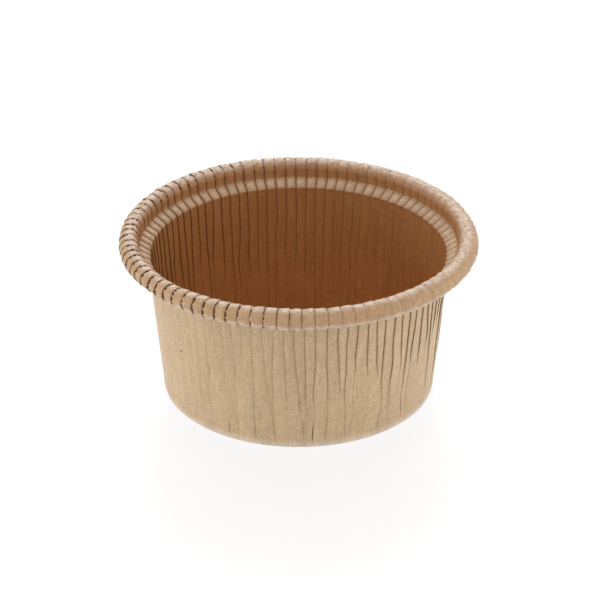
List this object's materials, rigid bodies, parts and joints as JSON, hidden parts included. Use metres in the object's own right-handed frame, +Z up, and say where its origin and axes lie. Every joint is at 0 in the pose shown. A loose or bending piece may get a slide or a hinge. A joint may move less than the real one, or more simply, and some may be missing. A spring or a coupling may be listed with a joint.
{
  "type": "cupcake liner",
  "caption": "Pleated paper baking cup with a flat base, a straight tapered wall, a small ledge and a rolled rim.",
  "frame": {"origin": "centre of the underside of the flat base, on the surface that the cup stands on", "axes": "+Z up along the cup's axis; +X to the right and -Y towards the viewer of the picture"},
  "size_m": [0.076, 0.076, 0.0362],
  "materials": {
    "kraft_paper": "matte"
  },
  "bodies": {
    "root": {"baking_cup": "kraft_paper"}
  },
  "joints": []
}
